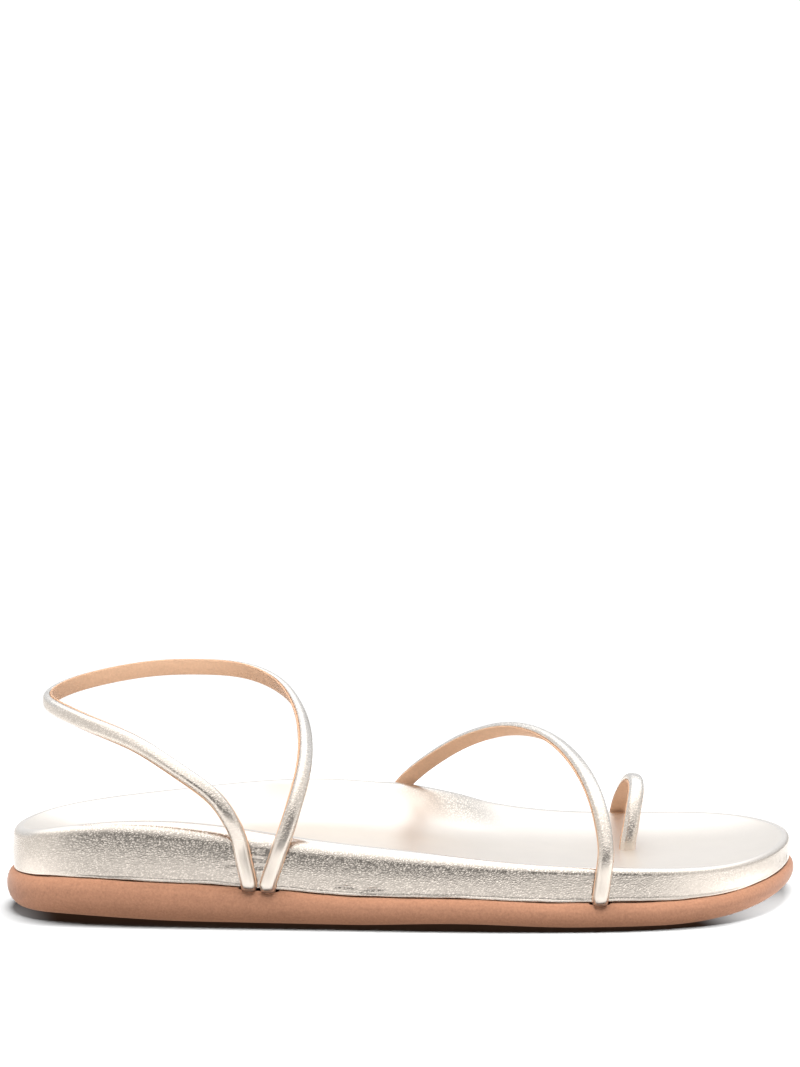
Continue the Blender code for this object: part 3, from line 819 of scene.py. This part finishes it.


# Gold leather: how its pebbles lean and are drawn out, how rough it is in the dish and on the wall,
# and the shade painted into its grooves and the light painted on its pebble tops
GRAIN_LEAN = math.radians(-32)
GRAIN_STRETCH = (1.75, 1.4, 0.85)
ROUGHNESS = (0.41, 0.20)
# Painted shade in the grooves and painted light on the pebble tops, as shares of the gold
GROOVE_PAINTED_SHADE = 0.58
PEBBLE_PAINTED_LIGHT = 1.06


def metallic_leather(name, sizes, gold, depth):
    """Kid leather under a pale gold foil: a satin metal broken up by fine, slightly drawn-out pebbles."""
    material, tree, shader = new_material(name)
    coords = add_node(tree, "ShaderNodeTexCoord").outputs["Object"]
    drawn = add_node(
        tree,
        "ShaderNodeMapping",
        {"Vector": coords, "Rotation": (0.0, GRAIN_LEAN, 0.0), "Scale": GRAIN_STRETCH},
        vector_type="TEXTURE",
    ).outputs[0]
    wander = noise(tree, drawn, 0.5 / sizes.grain, detail=1.0)["Color"]
    loose = add_node(
        tree,
        "ShaderNodeVectorMath",
        {0: wander, 1: (0.8 * sizes.grain,) * 3, 2: drawn},
        operation="MULTIPLY_ADD",
    ).outputs[0]
    groove = add_node(
        tree,
        "ShaderNodeTexVoronoi",
        {"Vector": loose, "Scale": 1 / sizes.grain, "Randomness": 1.0},
        feature="DISTANCE_TO_EDGE",
    ).outputs["Distance"]
    pebble = ranged(tree, groove, 0.0, 0.45, soft=True)
    ripple = noise(tree, drawn, 1.1 / sizes.grain, detail=1.0, roughness=0.45, distortion=0.5)["Fac"]
    blotch = noise(tree, coords, 0.06 / sizes.grain, detail=3.0, roughness=0.55)["Fac"]
    height = mixed(tree, 0.55, pebble, ripple)
    shares = [add_node(tree, "ShaderNodeAttribute", attribute_name=name) for name in (GLOSS, GRAIN)]
    gloss, grain = (node.outputs["Fac"] for node in shares)
    strength = ranged(tree, grain, 0.0, 1.0, low=0.1)
    bump = add_node(tree, "ShaderNodeBump", {"Height": height, "Strength": strength, "Distance": depth})
    foil = mixed_colour(tree, blotch, shaded(gold, 0.95), shaded(gold, 1.03))
    # Painted shade: the base colour is darkened in the grooves and lifted a little on the pebble tops, as
    # far as the grain share reaches
    painted_groove_shade = ranged(tree, height, 0.3, 0.6, GROOVE_PAINTED_SHADE, PEBBLE_PAINTED_LIGHT)
    looks = {
        "Base Color": mixed_colour(tree, grain, foil, painted_groove_shade, blend="MULTIPLY"),
        "Metallic": 0.97,
        "Roughness": ranged(tree, gloss, 0.0, 1.0, *ROUGHNESS),
        "Normal": bump.outputs["Normal"],
    }
    fill(tree, shader, looks)
    return material


def tan_leather(name, colour, sizes, depth, roughness, contrast):
    """Undyed-edge tan leather: matte, with a close nap that breaks the light into fine specks."""
    material, tree, shader = new_material(name)
    coords = add_node(tree, "ShaderNodeTexCoord").outputs["Object"]
    nap = noise(tree, coords, 1 / sizes.nap, detail=4.0, roughness=0.7)["Fac"]
    patch = noise(tree, coords, 0.08 / sizes.nap, detail=4.0, roughness=0.6)["Fac"]
    specks = mixed(tree, 0.35, ranged(tree, nap, 0.3, 0.7), patch)
    bump = add_node(tree, "ShaderNodeBump", {"Height": nap, "Strength": 0.7, "Distance": depth})
    dark, light = shaded(colour, 1 - contrast), shaded(colour, 1 + contrast)
    looks = {
        "Base Color": mixed_colour(tree, specks, dark, light),
        "Roughness": roughness,
        "IOR": 1.45,
        "Specular IOR Level": 0.35,
        "Sheen Weight": 0.12,
        "Sheen Roughness": 0.5,
        "Normal": bump.outputs["Normal"],
    }
    fill(tree, shader, looks)
    return material


def length_property(name, description, millimetres):
    """A length that a user can change."""
    return FloatProperty(name=name, description=description, default=millimetres * MM, unit="LENGTH")


def colour_property(name, description, hex_colour):
    """A colour that a user can change."""
    default = linear(hex_colour)
    return FloatVectorProperty(name=name, description=description, default=default, subtype="COLOR")


class SandalSizes(bpy.types.PropertyGroup):
    """Sizes of straps and of both leathers."""

    strap_width: length_property("Strap width", "Across a rolled strap", 5.0)
    strap_thickness: length_property("Strap thickness", "From the lining's face to the crown", 3.0)
    grain: length_property("Grain", "Width of one pebble of the gold leather", 0.6)
    grain_depth: length_property("Grain depth", "Height of the gold leather's pebbles", 0.075)
    nap: length_property("Nap", "Size of the specks of the tan leather", 0.8)


class SandalColours(bpy.types.PropertyGroup):
    """Colours of the leathers and of the floor."""

    gold: colour_property("Gold", "Metallic leather", "#E0D6CB")
    outsole: colour_property("Outsole", "Tan leather of the sole", "#9A6E55")
    lining: colour_property("Lining", "Tan leather behind the straps", "#E3B897")
    floor: colour_property("Floor", "Studio floor", "#5E5E5E")


class SANDAL_OT_outsole(bpy.types.Operator):
    """Makes the outsole: a bullnose sole in tan leather"""

    bl_idname = "sandal.outsole"
    bl_label = "Outsole"

    def execute(self, context):
        sizes, colours = context.scene.sandal_sizes, context.scene.sandal_colours
        leather = tan_leather(
            "tan_sole_leather", colours.outsole, sizes, depth=0.10 * MM, roughness=0.72, contrast=0.28
        )
        bm = lofted(outsole_rings(), capped=False)
        add_piece("outsole_leather", bm, leather, "outsole")
        return {"FINISHED"}


class SANDAL_OT_footbed(bpy.types.Operator):
    """Makes the footbed: a moulded dish and wall in gold leather"""

    bl_idname = "sandal.footbed"
    bl_label = "Footbed"

    def execute(self, context):
        sizes, colours = context.scene.sandal_sizes, context.scene.sandal_colours
        leather = metallic_leather("gold_foil_leather_moulded", sizes, colours.gold, sizes.grain_depth)
        rings, shares = footbed_rings()
        bm = lofted(rings, capped=False, shares=shares)
        add_piece("footbed_leather", bm, leather, "footbed")
        return {"FINISHED"}


class SANDAL_OT_straps(bpy.types.Operator):
    """Makes the three straps: a gold roll and a tan lining for each"""

    bl_idname = "sandal.straps"
    bl_label = "Straps"

    def execute(self, context):
        sizes, colours = context.scene.sandal_sizes, context.scene.sandal_colours
        width, thickness = sizes.strap_width / MM, sizes.strap_thickness / MM
        toe_start = TOE_ROUTE[0]._replace(z=sole_top(TOE_ROUTE[0].x)[0] + GAP)
        routes = {
            "ankle_strap": strap_rows(ANKLE_ROUTE, thickness, "ankle_back", "ankle_front"),
            "instep_strap": strap_rows(INSTEP_ROUTE, thickness, "instep_outer", "instep_inner"),
            "toe_loop": strap_rows([toe_start, *TOE_ROUTE], thickness, None, "toe_inner"),
        }
        # Painted light: a lighter copy of the gold stands in for the brighter room that the straps mirror
        painted_light_gold = [channel * STRAP_PAINTED_LIFT for channel in colours.gold]
        depth = STRAP_GRAIN_DEPTH * sizes.grain_depth
        gold = metallic_leather("gold_foil_leather_rolled", sizes, painted_light_gold, depth)
        tan = tan_leather(
            "tan_lining_leather", colours.lining, sizes, depth=0.06 * MM, roughness=0.62, contrast=0.12
        )
        roll_outline, lining_outline = roll_section(width, thickness), lining_section(width)
        for node, rows in routes.items():
            rings = strap_rings(rows, roll_outline, thickness)
            clear = ease((rings[..., 2] - SMOOTH_END[node]) / SMOOTH_FADE)
            shares = {GLOSS: SMOOTH_GLOSS + (1 - SMOOTH_GLOSS) * clear, GRAIN: STRAP_GRAIN * clear}
            roll = lofted(rings, capped=True, shares=shares)
            add_piece(f"{node}_roll", roll, gold, node)
            lining = lofted(strap_rings(rows, lining_outline, thickness), capped=True)
            add_piece(f"{node}_lining", lining, tan)
        return {"FINISHED"}


# Camera: where it stands, how it is turned in degrees, and its lens
CAMERA_PLACE = (-0.0742, -1.4669, 0.3114)
CAMERA_TURN = (82.5443, 0.0, -2.8488)
CAMERA_LENS = 156.95
SENSOR_HEIGHT = 36.0

# Floor: a round of paper that holds the shadow and what the wall mirrors
FLOOR_RADIUS = 0.30
# Painted light: the paper's colour is lighter in front of the sandal, so that the wall mirrors a brighter
# floor there
FLOOR_FRONT = (-0.060, -0.085)  # across, where it gets lighter in front of the sandal
FLOOR_FRONT_PAINTED_LIGHT = 1.2

# Strip lamp along the sandal, over the floor behind it: place, size along and across, and watts
STRIP_PLACE = (0.05, 0.30, 1.00)
STRIP_SIZE = (1.0, 0.16)
STRIP_POWER = 155.0

# Pools of light that clear the shadow at both ends: place on the floor, radius and watts
POOLS = [
    Pool("toe_pool", (0.141, -0.026), 0.053, 80.0),
    Pool("heel_pool", (-0.160, -0.022), 0.05, 38.0),
]
POOL_HEIGHT = 0.5

# Wide lamps for the tan leather: the way to each, watts per square metre, and spread in degrees
LAMPS = [
    Lamp("top_lamp", (0.0, -0.10, 0.99), 10.0, 60.0, "leather"),
    Lamp("low_lamp", (0.0, -0.60, -0.80), 2.8, 70.0, "leather"),
    Lamp("lining_lamp", (-0.1, -0.98, 0.08), 0.6, 70.0, "lining"),
    Lamp("lining_top_lamp", (0.0, -0.35, 0.94), 4.2, 60.0, "lining"),
]

# Brightness of the mirrored room over the height of a view into it, from -1 straight down to 1 up
ROOM = [(-1.0, 1.1), (-0.04, 1.1), (0.02, 0.96), (0.53, 1.0), (0.88, 2.1)]
ROOM_TOP = 2.1
CORNER_SHADE = 0.4  # how much darker the far corner beyond the toe is, low down
FRONT_LIFT = 0.44  # the front of the room is bright from a little lower down
FRONT_DARK = 0.26  # brightness low down behind the camera
SIDE_TOP = 1.9  # most that the sides of the room reach
ROOM_MIDDLE = 0.05  # across
WHITE = (1.0, 1.0, 1.0, 1.0)
COOL_WHITE = (0.95, 1.01, 1.08, 1.0)  # high up behind the sandal
BACKDROP = 1.1  # brightness that the camera itself sees

# Parts of the room along the axes of a view into it, each from where it begins to where it is whole
FRONT = (-0.76, -0.94)  # ahead
FRONT_LOW = (0.50, 0.26)  # up
SIDES = (0.27, 0.5)  # across, either way
BACK = (-0.1, 0.4)  # ahead
BACK_HIGH = (0.02, 0.25)  # up
CORNER = (0.10, 0.22)  # across
CORNER_LOW = (0.18, 0.08)  # up


class SANDAL_OT_stage(bpy.types.Operator):
    """Makes the floor, the camera and the studio light"""

    bl_idname = "sandal.stage"
    bl_label = "Stage"

    def execute(self, context):
        scene = context.scene
        pieces = [thing for thing in scene.objects if thing.type == "MESH"]
        floor = self.add_floor(scene)
        self.add_camera(scene)
        self.add_strip(floor)
        for pool in POOLS:
            self.add_pool(pool, floor)
        for lamp in LAMPS:
            self.add_lamp(lamp, [piece for piece in pieces if lamp.lit in piece.name], pieces)
        self.add_room(scene)
        scene.view_settings.view_transform = "Standard"
        return {"FINISHED"}

    def add_floor(self, scene):
        """Matte grey paper under a strong lamp: it looks white, and its shadow stays deep."""
        material, tree, shader = new_material("grey_paper_floor")
        paper = scene.sandal_colours.floor
        place = add_node(tree, "ShaderNodeTexCoord").outputs["Object"]
        across = add_node(tree, "ShaderNodeSeparateXYZ", {0: place}).outputs["Y"]
        front = ranged(tree, across, *FLOOR_FRONT)
        # Painted light: the paper is lighter in front of the sandal, for the wall to mirror
        tone = mixed_colour(tree, front, shaded(paper, 1.0), shaded(paper, FLOOR_FRONT_PAINTED_LIGHT))
        fill(tree, shader, {"Base Color": tone, "Roughness": 1.0, "Specular IOR Level": 0.0})
        bm = bmesh.new()
        bmesh.ops.create_circle(bm, cap_ends=True, segments=64, radius=FLOOR_RADIUS)
        floor = add_mesh("floor", bm, material)
        return floor

    def add_camera(self, scene):
        data = bpy.data.cameras.new("camera")
        data.sensor_fit = "VERTICAL"
        data.sensor_height = SENSOR_HEIGHT
        data.lens = CAMERA_LENS
        scene.camera = add_object("camera", data)
        scene.camera.location = CAMERA_PLACE
        scene.camera.rotation_euler = [math.radians(turn) for turn in CAMERA_TURN]

    def add_light(self, name, kind, lit):
        """A lamp that lights some objects only, and isn't mirrored in the leather."""
        light = add_object(name, bpy.data.lights.new(name, kind))
        light.visible_glossy = False
        light.light_linking.receiver_collection = self.group(f"{name}_lights", lit)
        return light

    def group(self, name, things):
        """A collection that isn't in the scene, for what a lamp lights or what shades it."""
        collection = bpy.data.collections.new(name)
        for thing in things:
            collection.objects.link(thing)
        return collection

    def add_strip(self, floor):
        """The lamp that whitens the floor, behind the sandal so that its shadow falls to the front."""
        light = self.add_light("strip_lamp", "AREA", [floor])
        light.data.shape = "RECTANGLE"
        light.data.size, light.data.size_y = STRIP_SIZE
        light.data.energy = STRIP_POWER
        light.location = STRIP_PLACE
        light.rotation_euler = (-math.atan2(STRIP_PLACE[1], STRIP_PLACE[2]), 0.0, 0.0)
        shading = [bpy.data.objects[name] for name in ("outsole_leather", "footbed_leather")]
        light.light_linking.blocker_collection = self.group("strip_lamp_shades", shading)

    def add_pool(self, pool, floor):
        """A spot that lights a round of the floor from above, and that nothing shades."""
        light = self.add_light(pool.name, "SPOT", [floor])
        light.data.energy = pool.power
        light.data.spot_size = 2 * math.atan(pool.radius / POOL_HEIGHT)
        light.data.spot_blend = 1.0
        light.data.use_shadow = False
        light.location = (*pool.place, POOL_HEIGHT)

    def add_lamp(self, lamp, lit, shading):
        """A wide, distant lamp, which the floor doesn't shade."""
        light = self.add_light(lamp.name, "SUN", lit)
        light.light_linking.blocker_collection = self.group(f"{lamp.name}_shades", shading)
        light.data.energy = lamp.energy
        light.data.angle = math.radians(lamp.spread)
        light.rotation_euler = Vector(lamp.way).to_track_quat("Z", "Y").to_euler()

    def fill_ramp(self, ramp):
        """Puts the room's brightness over height on a ramp from 0 to 1."""
        while len(ramp.elements) < len(ROOM):
            ramp.elements.new(1.0)
        for element, (height, value) in zip(ramp.elements, ROOM):
            element.position = (height + 1) / 2
            element.color = (*[value / ROOM_TOP] * 3, 1.0)

    def add_room(self, scene):
        """A white room for the leather to mirror, dark and low behind the camera."""
        world = bpy.data.worlds.new("studio")
        world.use_nodes = True
        world.cycles_visibility.diffuse = False
        tree = world.node_tree
        way = add_node(tree, "ShaderNodeTexCoord").outputs["Generated"]
        parts = add_node(tree, "ShaderNodeSeparateXYZ", {0: way})
        across, ahead, up = (parts.outputs[axis] for axis in "XYZ")
        front = ranged(tree, ahead, *FRONT, soft=True)
        dark = maths(tree, "MULTIPLY", front, ranged(tree, up, *FRONT_LOW, soft=True))
        height = ranged(tree, maths(tree, "MULTIPLY_ADD", front, FRONT_LIFT, up), -1.0, 1.0)
        ramp = add_node(tree, "ShaderNodeValToRGB", {0: height})
        self.fill_ramp(ramp.color_ramp)
        white = maths(tree, "MULTIPLY", ramp.outputs["Color"], ROOM_TOP)
        right = maths(tree, "SUBTRACT", across, ROOM_MIDDLE)
        aside = maths(tree, "ABSOLUTE", right)
        capped = maths(tree, "MINIMUM", white, ranged(tree, aside, *SIDES, ROOM_TOP, SIDE_TOP))
        back = ranged(tree, ahead, *BACK, soft=True)
        corner = maths(tree, "MULTIPLY", back, ranged(tree, right, *CORNER, soft=True))
        level = ranged(tree, up, *CORNER_LOW, high=CORNER_SHADE, soft=True)
        shade = maths(tree, "MULTIPLY", corner, level)
        light = mixed(tree, dark, mixed(tree, shade, capped, 0.0), FRONT_DARK)
        cool = maths(tree, "MULTIPLY", back, ranged(tree, up, *BACK_HIGH))
        tint = mixed_colour(tree, cool, WHITE, COOL_WHITE)
        seen = add_node(tree, "ShaderNodeLightPath").outputs["Is Camera Ray"]
        shown = mixed(tree, seen, light, BACKDROP)
        fill(tree, tree.nodes["Background"], {"Color": tint, "Strength": shown})
        scene.world = world


class SANDAL_PT_panel(bpy.types.Panel):
    """Lists the sandal's pieces, sizes and colours"""

    bl_idname = "SANDAL_PT_panel"
    bl_label = "Footbed Sandal"
    bl_space_type = "VIEW_3D"
    bl_region_type = "UI"
    bl_category = "Sandal"

    def draw(self, context):
        for group in (context.scene.sandal_sizes, context.scene.sandal_colours):
            for name in group.__annotations__:
                self.layout.prop(group, name)
        for operator in OPERATORS:
            self.layout.operator(operator.bl_idname)


OPERATORS = (SANDAL_OT_outsole, SANDAL_OT_footbed, SANDAL_OT_straps, SANDAL_OT_stage)
CLASSES = (SandalSizes, SandalColours, *OPERATORS, SANDAL_PT_panel)


def register():
    for cls in CLASSES:
        bpy.utils.register_class(cls)
    bpy.types.Scene.sandal_sizes = PointerProperty(type=SandalSizes)
    bpy.types.Scene.sandal_colours = PointerProperty(type=SandalColours)


def unregister():
    del bpy.types.Scene.sandal_sizes
    del bpy.types.Scene.sandal_colours
    for cls in reversed(CLASSES):
        bpy.utils.unregister_class(cls)


def main():
    register()
    bpy.ops.sandal.outsole()
    bpy.ops.sandal.footbed()
    bpy.ops.sandal.straps()
    bpy.ops.sandal.stage()


if __name__ == "__main__":
    main()
